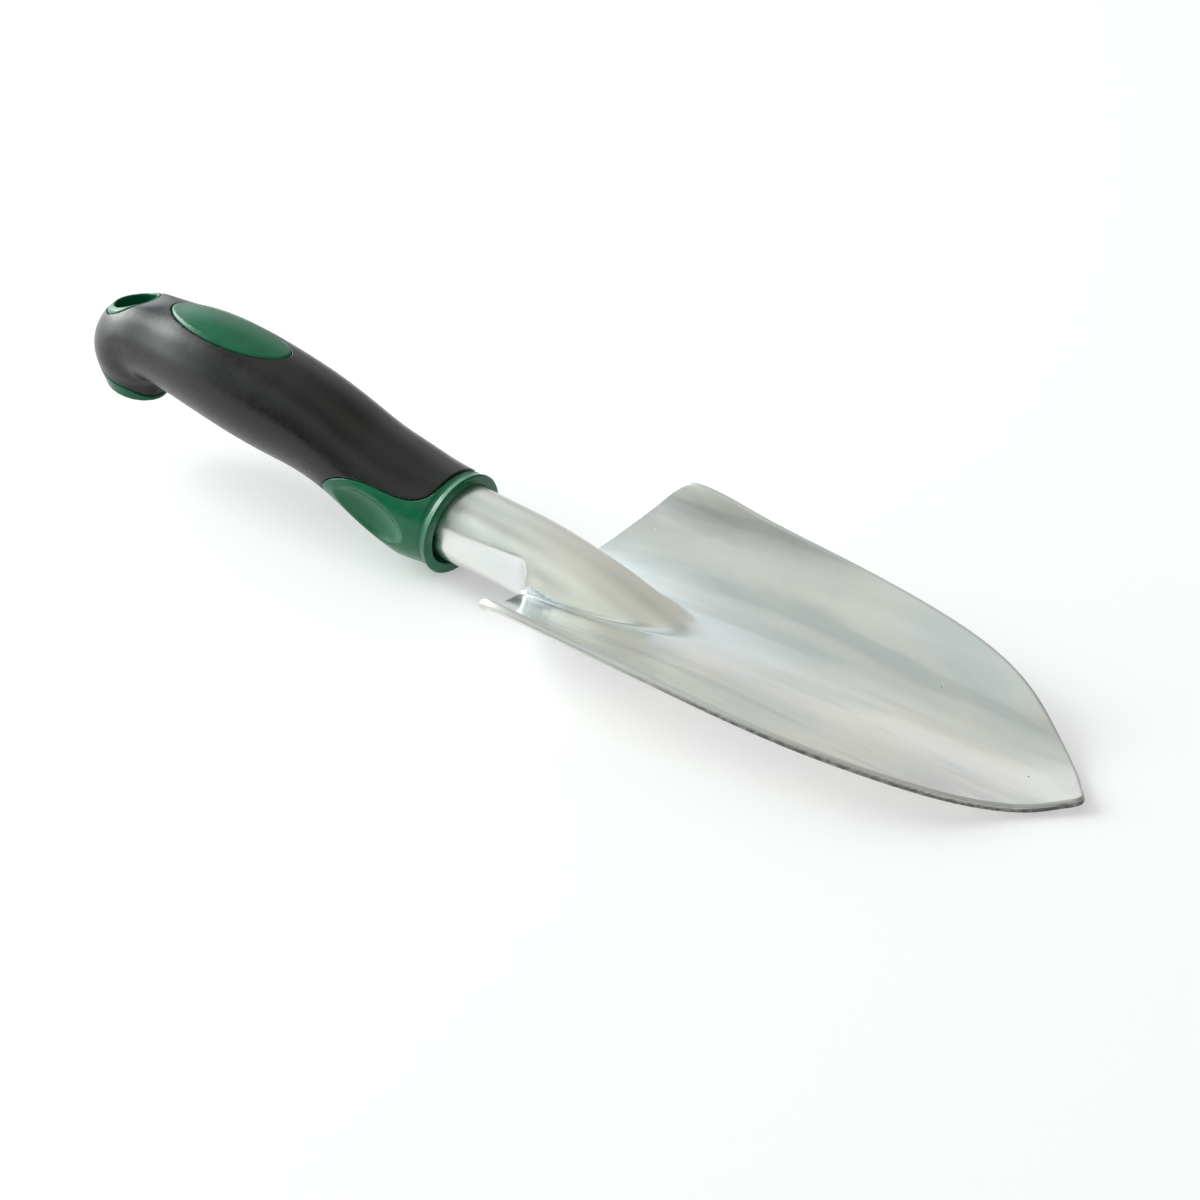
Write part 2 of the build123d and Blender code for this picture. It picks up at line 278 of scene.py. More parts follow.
REAR = [(149.2, 39.3), (152.2, 37.0), (154.8, 33.5), (158, 28.5), (161, 22), (163, 16),
        (163.8, 9.0), (163.9, 0.0)]


VALLEY, HALF, RISE, POWER, ROUND, CREST, BAR_R, FLAT_Y = [
    quickly(q, -20, 270) for q in (VALLEY, HALF, RISE, POWER, ROUND, CREST, BAR_R, FLAT_Y)]


def dish(s, y):
    b, p, w = ROUND(s), POWER(s), HALF(s)
    return VALLEY(s) + RISE(s) * (((y * y + b * b) ** (p / 2) - b**p)
                                  / ((w * w + b * b) ** (p / 2) - b**p))


_e = 0.05
_gs, _gy = np.arange(-14, 262, 0.5), np.arange(-48, 48.5, 0.5)
_GS, _GY = np.meshgrid(_gs, _gy, indexing="ij")
DISH_S = grid_table((dish(_GS + _e, _GY) - dish(_GS - _e, _GY)) / (2 * _e), _gs[0], _gy[0], 0.5)
DISH_Y = grid_table((dish(_GS, _GY + _e) - dish(_GS, _GY - _e)) / (2 * _e), _gs[0], _gy[0], 0.5)

# the outline seen from above: one half of it as closely spaced points
_half = np.array(SIDE + REAR)
_full = np.concatenate([_half[:0:-1] * [1, -1], _half])
_len = np.concatenate([[0], np.cumsum(np.linalg.norm(np.diff(_full, axis=0), axis=1))])
_mid = _len[len(_half) - 1]
_u = np.concatenate([np.linspace(_mid - 2, _mid + 12, 240, endpoint=False),
                     np.linspace(_mid + 12, _len[-1], 520)])
OUT = np.stack([spl(_len, _full[:, 0])(_u), spl(_len, _full[:, 1])(_u)], 1)
_right = OUT[OUT[:, 1] >= 0]
_right = _right[np.argsort(_right[:, 0])]


def outline_distance(p):
    """Signed distance to the outline in plan, negative inside."""
    A, D = OUT[:-1], np.diff(OUT, axis=0)
    L2 = (D * D).sum(1)
    best = np.full(len(p), 1e9)
    for a in range(0, len(A), 95):
        wx, wy = p[:, :1] - A[None, a:a + 95, 0], p[:, 1:] - A[None, a:a + 95, 1]
        dx, dy = D[None, a:a + 95, 0], D[None, a:a + 95, 1]
        k = np.clip((wx * dx + wy * dy) / L2[None, a:a + 95], 0, 1)
        best = np.minimum(best, ((wx - k * dx)**2 + (wy - k * dy)**2).min(1))
    inside = (p[:, 0] > 0) & (p[:, 1] < np.interp(p[:, 0], _right[:, 0], _right[:, 1], left=-1, right=-1))
    return np.sqrt(best) * np.where(inside, -1, 1)


_gs, _gy = np.arange(-14, 262, 0.25), np.arange(0, 48.25, 0.25)
_GS, _GY = np.meshgrid(_gs, _gy, indexing="ij")
PLAN = grid_table(spread(outline_distance, np.stack([_GS.ravel(), _GY.ravel()], 1), 8000).reshape(_GS.shape),
                  _gs[0], _gy[0], 0.25)


C_BACK = np.array([-math.cos(COLLAR_TILT), 0, math.sin(COLLAR_TILT)])
C_UP = np.array([math.sin(COLLAR_TILT), 0, math.cos(COLLAR_TILT)])
C_AT = np.array([TIP_X - COLLAR_S, 0, COLLAR_Z])


def collar(p):
    """Depth behind the collar's front plane, height in that plane, and radius about its axis."""
    q = p - C_AT
    d, m = q @ C_BACK, q @ C_UP
    return d, m, np.sqrt(p[:, 1]**2 + m * m)


def rounded_box(u, v, hu, hv, r):
    a, b = np.abs(u) - hu + r, np.abs(v) - hv + r
    return np.sqrt(np.maximum(a, 0)**2 + np.maximum(b, 0)**2) + np.minimum(np.maximum(a, b), 0) - r


def tang_shape(p, grow=0.0):
    d, m, r = collar(p)
    t = np.clip((d - RECESS_DEPTH) / TANG_LEN, 0, 1)
    f = rounded_box(p[:, 1], m, 7.0 - 1.5 * t + grow, 5.5 - 1.5 * t + grow, 2.0)
    f = smax(f, d - RECESS_DEPTH - TANG_LEN - grow, 0.6)
    for z in (RECESS_DEPTH + 18, RECESS_DEPTH + 34):
        hh = 5.5 - 1.5 * (z - RECESS_DEPTH) / TANG_LEN
        groove = np.maximum(np.abs(d - z - 2) - 2 + grow, hh - 1.4 - np.abs(m) + grow)
        f = smax(f, -groove, 0.5)
    return f


def scoop(p):
    s, y, z = TIP_X - p[:, 0], p[:, 1], p[:, 2]
    zt, zs, zy = dish(s, y), DISH_S(s, y), DISH_Y(s, y)
    n = np.sqrt(1 + zs * zs + zy * zy)
    top = (z - zt) / n                                   # above the dish
    under = -(top + BLADE_T)                             # below the wall's lower face
    # the rim is cut square to the wall, so its plan distance is taken at the foot on the dish
    k = np.clip(top, -4.0, 1.0)
    o = PLAN(s + k * zs / n, np.abs(y + k * zy / n))
    blade = smax(smax(top, o, 0.9), smax(under, o, 0.9), 0.05)
    # round bar of the neck and tongue
    r, crest = BAR_R(s), CREST(s)
    slope = (CREST(s + 0.5) - CREST(s - 0.5))
    cz = crest - r
    bar = (np.sqrt(y * y + (z - cz)**2) - r) / np.sqrt(1 + slope * slope)
    # the two flats: they end in a rounded step at the blade and a rounded corner above
    fy = FLAT_Y(s)
    side = fy - np.abs(y)
    wall = 161.9 - s                                     # > 0 in front of the step
    lid = z - (17.6 + 0.045 * (s - 162))
    corner = np.sqrt(np.maximum(wall + 4.5, 0)**2 + np.maximum(lid + 4.5, 0)**2) \
        + np.minimum(np.maximum(wall + 4.5, lid + 4.5), 0) - 4.5
    cut = smax(side, corner, 1.6)                        # < 0 where metal is taken away
    bar = smax(bar, -cut, 0.5 + 0.25 * np.clip(1.4 - np.abs(wall) / 3, 0, 1))
    neck = smax(bar, under, 0.6)
    solid = smin(blade, neck, 1.0)
    # channel cored out of the underside
    rc = r - 3.2
    ch = np.where(z > cz, np.sqrt(y * y + (z - cz)**2) - rc, np.abs(y) - rc)
    ch = smax(ch, np.maximum(111.5 - s, s - 186), 3.0)
    solid = smax(solid, -ch, 1.0)
    d, m, cr = collar(p)
    solid = smax(solid, d - RECESS_DEPTH, 0.3)
    return smin(solid, smax(tang_shape(p), RECESS_DEPTH - 1.5 - d, 0.2), 0.4)


# =============================================================================================
# handle: outer body, core and rubber
# =============================================================================================
GRIP_T, SEAM = 2.6, 0.04
HOLE_R, BOSS_R, BOSS_SHIFT = 5.7, 7.4, 0.8
HOLE_TOP, HOLE_BOTTOM = np.array([308.5, 47.0]), np.array([310.3, 19.0])
FOOT_Z, FOOT_SLOPE = 19.9, 0.22
OVAL_S, OVAL_A, OVAL_B = 272.5, 20.8, 7.7
DIMPLE_S, DIMPLE_ANGLE, DIMPLE_TILT, DIMPLE_OUT = 213.3, math.radians(-11), math.radians(11), 18.2
DIMPLE_AXES = np.array([15.5, 7.0, 9.0])
BODY = np.array([
    (195.2, 14.55, 10.0, 13.75, 13.75), (203.0, 15.15, 5.0, 14.3, 14.3),
    (210.0, 16.8, 0.0, 14.55, 14.55), (220.0, 20.1, 0.0, 14.1, 14.1),
    (230.0, 24.4, 0.0, 13.75, 13.75), (242.0, 28.4, 0.0, 13.9, 13.9),
    (256.0, 31.1, 0.0, 14.5, 14.5), (270.0, 33.6, 0.0, 14.5, 14.5),
    (284.0, 35.5, 0.0, 13.5, 13.5), (298.0, 36.5, 0.0, 12.1, 12.0),
    (307.2, 35.0, -30.0, 12.3, 11.6), (311.5, 29.4, -58.0, 11.6, 10.9),
    (311.5, 24.6, -75.0, 9.9, 9.3), (310.6, FOOT_Z, -77.6, 9.0, 8.1)])
_t = np.concatenate([[0], np.cumsum(np.linalg.norm(np.diff(BODY[:, :2], axis=0), axis=1))])
T_END = _t[-1]
B_S, B_Z, B_T, B_H, B_W = [quickly(spl(_t, BODY[:, k]), -5, T_END + 5, 0.01) for k in range(5)]


B_C = quickly(lambda t: np.cos(np.radians(spl(_t, BODY[:, 2])(t))), -5, T_END + 5, 0.01)
B_N = quickly(lambda t: np.sin(np.radians(spl(_t, BODY[:, 2])(t))), -5, T_END + 5, 0.01)


def plane_at(t, s, z):
    """How far the point lies beyond the section plane t, and its height in that plane."""
    c, n = B_C(t), B_N(t)
    ds, dz = s - B_S(t), z - B_Z(t)
    return ds * c + dz * n, -ds * n + dz * c


_ts = np.linspace(0, T_END, 420)
_bs, _bz = np.arange(180, 336, 0.5), np.arange(-6, 60, 0.5)
_BS, _BZ = np.meshgrid(_bs, _bz, indexing="ij")


def _solve_table():
    s, z = _BS.ravel(), _BZ.ravel()
    out = np.empty(len(s))
    hh = B_H(_ts)
    for i in range(0, len(s), 6000):
        g, v = plane_at(_ts[None], s[i:i + 6000, None], z[i:i + 6000, None])
        crossing = (g[:, :-1] >= 0) & (g[:, 1:] < 0)
        cost = np.where(crossing, np.abs(v[:, :-1]) / hh[None, :-1], np.inf)
        k = cost.argmin(1)
        r = np.arange(len(g))
        found = np.isfinite(cost[r, k])
        t = _ts[k] + (_ts[1] - _ts[0]) * g[r, k] / np.where(found, g[r, k] - g[r, np.minimum(k + 1, len(_ts) - 1)], 1)
        out[i:i + 6000] = np.where(found, t, np.where(g[:, 0] < 0, 0.0, T_END))
    return out.reshape(_BS.shape)


_T0 = _solve_table()


def body_t(s, z):
    i = np.clip(np.rint((s - _bs[0]) / 0.5).astype(int), 0, len(_bs) - 1)
    j = np.clip(np.rint((z - _bz[0]) / 0.5).astype(int), 0, len(_bz) - 1)
    t = _T0[i, j]
    for _ in range(3):
        g, v = plane_at(t, s, z)
        g2, v2 = plane_at(t + 0.01, s, z)
        slope = np.minimum((g2 - g) / 0.01, -0.15)
        t = np.clip(t - np.clip(g / slope, -1.5, 1.5), 0, T_END)
    return t


def body(s, y, z):
    """About the signed distance to the handle's outer skin."""
    t = body_t(s, z)
    g, v = plane_at(t, s, z)
    hh, hw = B_H(t), B_W(t)
    q = np.sqrt((y / hw)**2 + (v / hh)**2)
    f = (q - 1) * np.minimum(hh, hw)
    return f, t


FRONT = [(192.4, 60), (192.6, 40), (193.0, 30), (193.4, 27), (194.4, 25.1), (196.3, 23.8),
         (199, 23.0), (202, 22.8), (206, 23.1), (211, 23.8), (217, 24.1), (222.5, 23.3),
         (226.5, 21.6), (229.5, 18.8), (231, 15.4), (231.2, 11), (230.6, 4), (230.4, -6)]
_f = np.array(FRONT, float)
_fl = np.concatenate([[0], np.cumsum(np.linalg.norm(np.diff(_f, axis=0), axis=1))])
_fu = np.linspace(0, _fl[-1], 420)
_FR = np.stack([spl(_fl, _f[:, 0])(_fu), spl(_fl, _f[:, 1])(_fu)], 1)
_FRD = np.diff(_FR, axis=0)


def front_distance(p):
    """Signed distance in side view to the rubber's front edge, negative where rubber is."""
    w = p[:, None, :] - _FR[None, :-1]
    t = np.clip((w * _FRD[None]).sum(2) / (_FRD**2).sum(1)[None], 0, 1)
    v = w - t[..., None] * _FRD[None]
    d2 = (v * v).sum(2)
    k = d2.argmin(1)
    r = np.arange(len(p))
    c = _FRD[k, 0] * w[r, k, 1] - _FRD[k, 1] * w[r, k, 0]
    return -np.sqrt(d2[r, k]) * np.sign(c)


_A, _B = np.meshgrid(np.arange(180, 246, 0.25), np.arange(-6, 60, 0.25), indexing="ij")
_near_front = grid_table(spread(front_distance, np.stack([_A.ravel(), _B.ravel()], 1), 2000).reshape(_A.shape),
                         180, -6, 0.25)


def front_edge(s, z):
    return np.where(s > 245, -12.0 - (s - 245) * 0.5, _near_front(s, z))


HOLE_DIR = (HOLE_TOP - HOLE_BOTTOM) / np.linalg.norm(HOLE_TOP - HOLE_BOTTOM)


def hole_frame(s, y, z):
    ds, dz = s - HOLE_BOTTOM[0], z - HOLE_BOTTOM[1]
    along = ds * HOLE_DIR[0] + dz * HOLE_DIR[1]
    across = ds * HOLE_DIR[1] - dz * HOLE_DIR[0]
    return along, np.sqrt(across**2 + y * y), across


def oval_distance(s, y):
    q = np.sqrt(((s - OVAL_S) / OVAL_A)**2 + (y / OVAL_B)**2)
    g = np.sqrt(((s - OVAL_S) / OVAL_A**2)**2 + (y / OVAL_B**2)**2)
    return (q - 1) / np.maximum(g / np.maximum(q, 1e-6), 1 / OVAL_A)


def foot_line(s, y):
    """Height of the border between the green foot and the rubber: a wedge, thicker at the back."""
    k = np.clip((s - 301) / 8, 0, 1)
    return FOOT_Z + 2.55 + 0.365 * (s - 310.3) + 1.4 * k * k * (3 - 2 * k) + 0.13 * np.sin(0.75 * (s - 304))


def zone(s, y, z):
    """Negative where the rubber covers the core."""
    g = front_edge(s, z)
    g = smax(g, np.where(s > 292, foot_line(s, y) - z, -30.0), 0.3)
    ov = np.where(z > 38, oval_distance(s, y), 30.0)
    g = np.maximum(g, -ov)
    al, ra, ac = hole_frame(s, y, z)
    rb = np.sqrt((ac - BOSS_SHIFT)**2 + y * y)
    g = np.maximum(g, -np.where(al > 19, rb - BOSS_R, 30.0))
    return g, ov, al, ra


def handle_ends(s, y, z, f, k):
    f = smax(f, np.where(s < 215, 0.0, -60.0)
             + np.where(s < 215, (195.2 - s) * math.cos(0.1745) - (z - 14.55) * math.sin(0.1745), 0), 0.2)
    # the top is flattened round the hang hole, with a faint crest in front of it
    f = smax(f, np.where((s > 286) & (z > 38), (z - 48.45 + 0.19 * (s - 297)) * 0.982, -60.0), 0.6)
    return smax(f, np.where(s > 292, (FOOT_Z + FOOT_SLOPE * (s - 310.3) - z) * 0.977, -60.0), k)


def grip(p):
    s, y, z = TIP_X - p[:, 0], p[:, 1], p[:, 2]
    f, t = body(s, y, z)
    g, ov, al, ra = zone(s, y, z)
    d, m, cr = collar(p)
    f0 = smax(f, -(f + GRIP_T), 0.3)
    f0 = smax(f0, g + SEAM, 0.55)
    f0 = smax(f0, HOLE_R + 0.3 - ra, 0.3)
    f0 = smax(f0, -smin(np.maximum(cr - 14.25, np.maximum(-d, d - 3.3)),
                        np.maximum(cr - 12.25, d - 8.2), 0.2), 0.3)
    return handle_ends(s, y, z, f0, 0.4)


def core(p):
    s, y, z = TIP_X - p[:, 0], p[:, 1], p[:, 2]
    f, t = body(s, y, z)
    g, ov, al, ra = zone(s, y, z)
    d, m, cr = collar(p)
    # the oval stands a little proud, with a bevelled edge
    proud = 0.25 * np.clip(-(ov + 0.1) / 0.6, 0, 1) ** 0.8 * (z > 38)
    outer = f - proud
    under = f + GRIP_T + SEAM
    f1 = smax(outer, smin(-g + SEAM, under, 0.2), 0.4)
    f1 = handle_ends(s, y, z, f1, 0.7)
    # flared collar: the lip runs back into the body in one sweep
    f1 = np.where(d < 12, smax(f1, cr - 13.38 - 0.2 * np.maximum(d - 3.2, 0), 0.5), f1)
    lip = smax(smax(cr - 13.35 - 0.87 * np.exp(-((d - 0.4) / 1.3)**2), -d, 0.6),
               d - 3.25 - 1.2 * np.clip(g / 0.6, 0, 1), 0.2)
    f1 = smin(f1, lip, 0.6)
    f1 = np.where(d < 30, smin(f1, np.maximum(cr - 12.2, np.maximum(1 - d, d - 7.9)), 0.1), f1)
    recess = smax(cr - RECESS_R, d - RECESS_DEPTH, 0.8)
    f1 = smax(f1, -recess, 0.7)
    # thumb dimples
    zc = 17.9
    ca, sa = math.cos(DIMPLE_ANGLE), math.sin(DIMPLE_ANGLE)
    xs = p[:, 0] - (TIP_X - DIMPLE_S)
    zz = z - (zc + DIMPLE_OUT * sa)
    yy = np.abs(y) - DIMPLE_OUT * ca
    ct, st = math.cos(DIMPLE_TILT), math.sin(DIMPLE_TILT)
    u, w = xs * ct - zz * st, xs * st + zz * ct
    qa = np.sqrt((u / DIMPLE_AXES[0])**2 + (yy / DIMPLE_AXES[1])**2 + (w / DIMPLE_AXES[2])**2)
    qb = np.sqrt((u / DIMPLE_AXES[0]**2)**2 + (yy / DIMPLE_AXES[1]**2)**2 + (w / DIMPLE_AXES[2]**2)**2)
    ell = qa * (qa - 1) / np.maximum(qb, 1e-3)
    f1 = smax(f1, -ell, 0.45)
    f1 = smax(f1, HOLE_R - ra, 0.9)
    return smax(f1, -tang_shape(p, 0.05), 0.15)


STEP = 0.45
V, F, N = nets(scoop, (-145, -42, -1.5), (162.5, 42, 33), STEP)
scoop_ob = mesh_object("scoop_casting", V, F, N)
_s, _y, _z = TIP_X - V[:, 0], V[:, 1], V[:, 2]
_o, _top = PLAN(_s, np.abs(_y)), _z - dish(_s, _y)
# the lower part of the cut rim, growing to its whole thickness at the tip, gets painted shade: the darkened
# reflection of the shadowed floor below the edge
_rim_shade = np.clip((_o + 0.5) / 0.3, 0, 1) * np.clip((-_top - np.interp(_s, [0, 20, 110], [0.5, 0.85, 1.5])) / 0.3, 0, 1)
_rim_shade *= np.clip((125 - _s) / 45, 0, 1)
# rims near the outline: rougher, and painted darker as painted shade
_edge_shade = np.clip((_o + 1.0) / 0.7, 0, 1) * ((np.abs(_y) > 12) | (_s < 140))
# neck and tongue: the round bar above the dish is only brushed
_r = BAR_R(_s)
_dull = np.clip(1.3 - np.abs(np.sqrt(_y**2 + (_z - CREST(_s) + _r)**2) - _r) / 0.35, 0, 1)
_dull *= np.clip((np.where(_s < 158, _top, 9.0) - 0.5) / 1.2, 0, 1) * (_z > CREST(_s) - _r)
_dull *= np.interp(_s, [150, 172], [1.0, 0.5])
# the rounded corners of the step stay a little rough too and, like the rims, are painted darker as painted shade
_step = np.exp(-((_s - 161.5) / 2.2)**2) * np.clip((14 - np.abs(_y)) / 2, 0, 1)
_step *= np.clip((np.abs(_y) - 5) / 2, 0, 1) * np.clip((18 - _z) / 2, 0, 1) * (_z > 4)
_edge_shade = np.maximum(_edge_shade, _step)
for _name, _v in (("rim", _rim_shade), ("brushed", _dull), ("edge", _edge_shade)):
    scoop_ob.data.attributes.new(_name, "FLOAT", "POINT").data.foreach_set("value", _v.astype(np.float32))
V, F, N = nets(core, (-163, -16.5, -1.5), (-24, 16.5, 52), STEP)
core_ob = mesh_object("green_core", V, F, N)
V, F, N = nets(grip, (-163, -16.5, 8), (-24, 16.5, 52), STEP)
grip_ob = mesh_object("rubber_grip", V, F, N)
print("faces", len(scoop_ob.data.polygons), len(core_ob.data.polygons), len(grip_ob.data.polygons))

for ob, node, slot in ((scoop_ob, "scoop", "cast_aluminium"), (core_ob, "handle_core", "green_plastic"),
                       (grip_ob, "grip_sleeve", "dark_rubber")):
    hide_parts(node)
    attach(ob, "root")


# =============================================================================================
# materials
# =============================================================================================
class Nodes:
    def __init__(self, name):
        self.m = bpy.data.materials.new(name)
        self.m.use_nodes = True
        self.t = self.m.node_tree
        self.t.nodes.clear()
        self.out = self.add("ShaderNodeOutputMaterial")
        self.b = self.add("ShaderNodeBsdfPrincipled")
        self.t.links.new(self.b.outputs[0], self.out.inputs[0])
        self.geo = self.add("ShaderNodeTexCoord")

    def add(self, kind, **props):
        n = self.t.nodes.new(kind)
        for k, v in props.items():
            setattr(n, k, v)
        return n

    def link(self, a, b):
        self.t.links.new(a, b)

    def noise(self, scale, detail=3.0, rough=0.5, distort=0.0, stretch=None, offset=(0, 0, 0)):
        mp = self.add("ShaderNodeMapping")
        mp.inputs["Scale"].default_value = stretch or (1, 1, 1)
        mp.inputs["Location"].default_value = offset
        self.link(self.geo.outputs["Object"], mp.inputs["Vector"])
        n = self.add("ShaderNodeTexNoise")
        n.inputs["Scale"].default_value = scale
        n.inputs["Detail"].default_value = detail
        n.inputs["Roughness"].default_value = rough
        n.inputs["Distortion"].default_value = distort
        self.link(mp.outputs[0], n.inputs["Vector"])
        return n.outputs["Fac"]

    def remap(self, value, a, b, c, d, smooth=True):
        n = self.add("ShaderNodeMapRange", interpolation_type="SMOOTHSTEP" if smooth else "LINEAR")
        for k, v in zip(("From Min", "From Max", "To Min", "To Max"), (a, b, c, d)):
            n.inputs[k].default_value = v
        self.link(value, n.inputs["Value"])
        return n.outputs["Result"]

    def mix(self, fac, a, b):
        n = self.add("ShaderNodeMix", data_type="RGBA")
        if isinstance(fac, float):
            n.inputs["Factor"].default_value = fac
        else:
            self.link(fac, n.inputs["Factor"])
        for sock, v in ((n.inputs["A"], a), (n.inputs["B"], b)):
            if isinstance(v, tuple):
                sock.default_value = (*v, 1)
            else:
                self.link(v, sock)
        return n.outputs["Result"]

    def math(self, op, a, b):
        n = self.add("ShaderNodeMath", operation=op)
        for sock, v in zip(n.inputs, (a, b)):
            if isinstance(v, (int, float)):
                sock.default_value = v
            else:
                self.link(v, sock)
        return n.outputs[0]

    def bump(self, height, distance, strength=1.0, normal=None):
        n = self.add("ShaderNodeBump")
        n.inputs["Distance"].default_value = distance
        n.inputs["Strength"].default_value = strength
        self.link(height, n.inputs["Height"])
        if normal is not None:
            self.link(normal, n.inputs["Normal"])
        return n.outputs["Normal"]


def aluminium():
    n = Nodes("polished_cast_aluminium")
    n.b.inputs["Metallic"].default_value = 1.0
    cloud = n.noise(24, 4, 0.6, 0.8, (0.6, 1.3, 1.3))
    fine = n.noise(90, 4, 0.6, 0.3, (0.35, 1.3, 1.3), (3, 1, 2))
    streak = n.noise(75, 2, 0.5, 0.25, (0.1, 1, 1), (1, 7, 2))
    lane = n.noise(48, 2, 0.5, 0.2, (0.09, 1, 1), (4, 2, 6))
    brushed = n.add("ShaderNodeAttribute", attribute_name="brushed").outputs["Fac"]
    rim = n.add("ShaderNodeAttribute", attribute_name="rim").outputs["Fac"]
    edge = n.add("ShaderNodeAttribute", attribute_name="edge").outputs["Fac"]
    bare = n.math("SUBTRACT", 1.0, brushed)
    # polished dish: cool and warm clouds as painted reflections of the surroundings, long grey streaks left by the
    # wheel
    reflection_clouds = n.mix(n.remap(cloud, 0.36, 0.64, 0, 1), (0.82, 0.865, 0.88), (0.95, 0.93, 0.865))
    spots = n.noise(520, 2, 0.5, 0.0, None, (1, 4, 2))
    pit = n.remap(spots, 0.785, 0.81, 0, 1)
    col = n.mix(n.remap(fine, 0.3, 0.75, 0, 1), reflection_clouds, n.mix(0.5, reflection_clouds, (0.74, 0.75, 0.73)))
    col = n.mix(n.remap(streak, 0.52, 0.60, 0, 0.6), col, (0.69, 0.71, 0.70))
    col = n.mix(n.remap(lane, 0.55, 0.62, 0, 0.7), col, (0.95, 0.945, 0.92))
    # neck and tongue: brushed, a little rougher and warmer than the dish
    col = n.mix(brushed, col, n.mix(n.remap(cloud, 0.35, 0.65, 0, 1), (0.83, 0.82, 0.76), (0.88, 0.865, 0.80)))
    # rims and step corners painted darker grey: painted shade that dims their highlights
    col = n.mix(n.math("MULTIPLY", edge, 0.6), col, (0.50, 0.50, 0.485))
    col = n.mix(pit, col, (0.28, 0.28, 0.27))
    # the lower part of the cut rim is painted darker and speckled, as painted shade for the shadowed floor it
    # reflects, and made rougher
    speck = n.noise(420, 3, 0.6, 0.0, (1, 1, 1), (5, 5, 1))
    rim_shade_col = n.mix(n.remap(speck, 0.40, 0.66, 0, 1), (0.16, 0.16, 0.155), (0.34, 0.34, 0.32))
    n.link(n.mix(rim, col, rim_shade_col), n.b.inputs["Base Color"])
    r1 = n.remap(cloud, 0.3, 0.7, 0.16, 0.23)
    r2 = n.remap(fine, 0.35, 0.7, 0.0, 0.05)
    rough = n.math("ADD", n.math("ADD", r1, r2), n.math("MULTIPLY", pit, 0.35))
    rough = n.math("ADD", rough, n.math("MULTIPLY", brushed, 0.25))
    rough = n.math("ADD", rough, n.math("MULTIPLY", edge, 0.16))
    n.link(n.math("ADD", rough, n.math("MULTIPLY", rim, 0.2)), n.b.inputs["Roughness"])
    wave = n.noise(26, 2, 0.4, 0.2, (0.5, 1, 1), (7, 2, 5))
    long_wave = n.noise(60, 1.5, 0.4, 0.1, (0.1, 1, 1), (2, 9, 4))
    grain = n.noise(1900, 3, 0.6, 0.0, (0.25, 1, 1))
    nm = n.bump(n.math("MULTIPLY", n.math("SUBTRACT", wave, 0.5), bare), 0.00022, 1.0)
    nm = n.bump(n.math("MULTIPLY", n.math("SUBTRACT", long_wave, 0.5), bare), 0.00045, 1.0, nm)
    nm = n.bump(grain, 0.0000012, 1.0, nm)
    nm = n.bump(n.math("MULTIPLY", pit, -1.0), 0.00005, 0.8, nm)
    n.link(nm, n.b.inputs["Normal"])
    return n.m


def plastic():
    n = Nodes("green_polypropylene")
    n.b.inputs["IOR"].default_value = 1.49
    n.b.inputs["Specular IOR Level"].default_value = 0.36
    n.b.inputs["Subsurface Weight"].default_value = 0.0
    cloud = n.noise(60, 3, 0.5)
    mottle = n.noise(900, 4, 0.65, 0.4)
    base = n.mix(n.remap(cloud, 0.35, 0.65, 0, 1), (0.003, 0.105, 0.046), (0.005, 0.135, 0.060))
    n.link(n.mix(n.remap(mottle, 0.62, 0.8, 0, 0.5), base, (0.02, 0.20, 0.10)), n.b.inputs["Base Color"])
    n.link(n.remap(n.noise(240, 4, 0.6), 0.3, 0.7, 0.20, 0.27), n.b.inputs["Roughness"])
    nm = n.bump(mottle, 0.00003, 0.6)
    nm = n.bump(n.noise(3200, 2, 0.5), 0.000006, 1.0, nm)
    n.link(nm, n.b.inputs["Normal"])
    return n.m


def rubber():
    n = Nodes("dark_thermoplastic_rubber")
    n.b.inputs["IOR"].default_value = 1.5
    n.b.inputs["Specular IOR Level"].default_value = 0.42
    cloud = n.noise(45, 4, 0.6, 0.5)
    fine = n.noise(700, 4, 0.6)
    base = n.mix(n.remap(cloud, 0.35, 0.65, 0, 1), (0.0045, 0.0047, 0.0043), (0.0070, 0.0072, 0.0067))
    dust = n.remap(n.noise(1500, 2, 0.5, 0, None, (3, 3, 1)), 0.70, 0.80, 0, 0.4)
    # painted sheen with some dust on the pommel: lighter patches fading towards the front
    axes = n.add("ShaderNodeSeparateXYZ")
    n.link(n.geo.outputs["Object"], axes.inputs[0])
    dust_and_sheen = n.math("MULTIPLY", n.remap(n.noise(420, 5, 0.7, 0.4), 0.40, 0.68, 0.15, 0.8),
                   n.remap(n.noise(40, 2, 0.5, 0.3, None, (6, 1, 3)), 0.40, 0.60, 0.2, 1))
    dust_and_sheen = n.math("MULTIPLY", dust_and_sheen, n.remap(axes.outputs["X"], -0.145, -0.095, 1, 0))
    base = n.mix(dust_and_sheen, base, (0.040, 0.040, 0.038))
    n.link(n.mix(dust, base, (0.16, 0.16, 0.155)), n.b.inputs["Base Color"])
    n.link(n.math("ADD", n.remap(cloud, 0.3, 0.7, 0.25, 0.32), n.remap(fine, 0.3, 0.7, 0.0, 0.06)),
           n.b.inputs["Roughness"])
    nm = n.bump(fine, 0.00003, 0.7)
    nm = n.bump(n.noise(3600, 2, 0.5), 0.00001, 1.0, nm)
    n.link(nm, n.b.inputs["Normal"])
    return n.m


for ob, m in ((scoop_ob, aluminium()), (core_ob, plastic()), (grip_ob, rubber())):
    ob.data.materials.append(m)


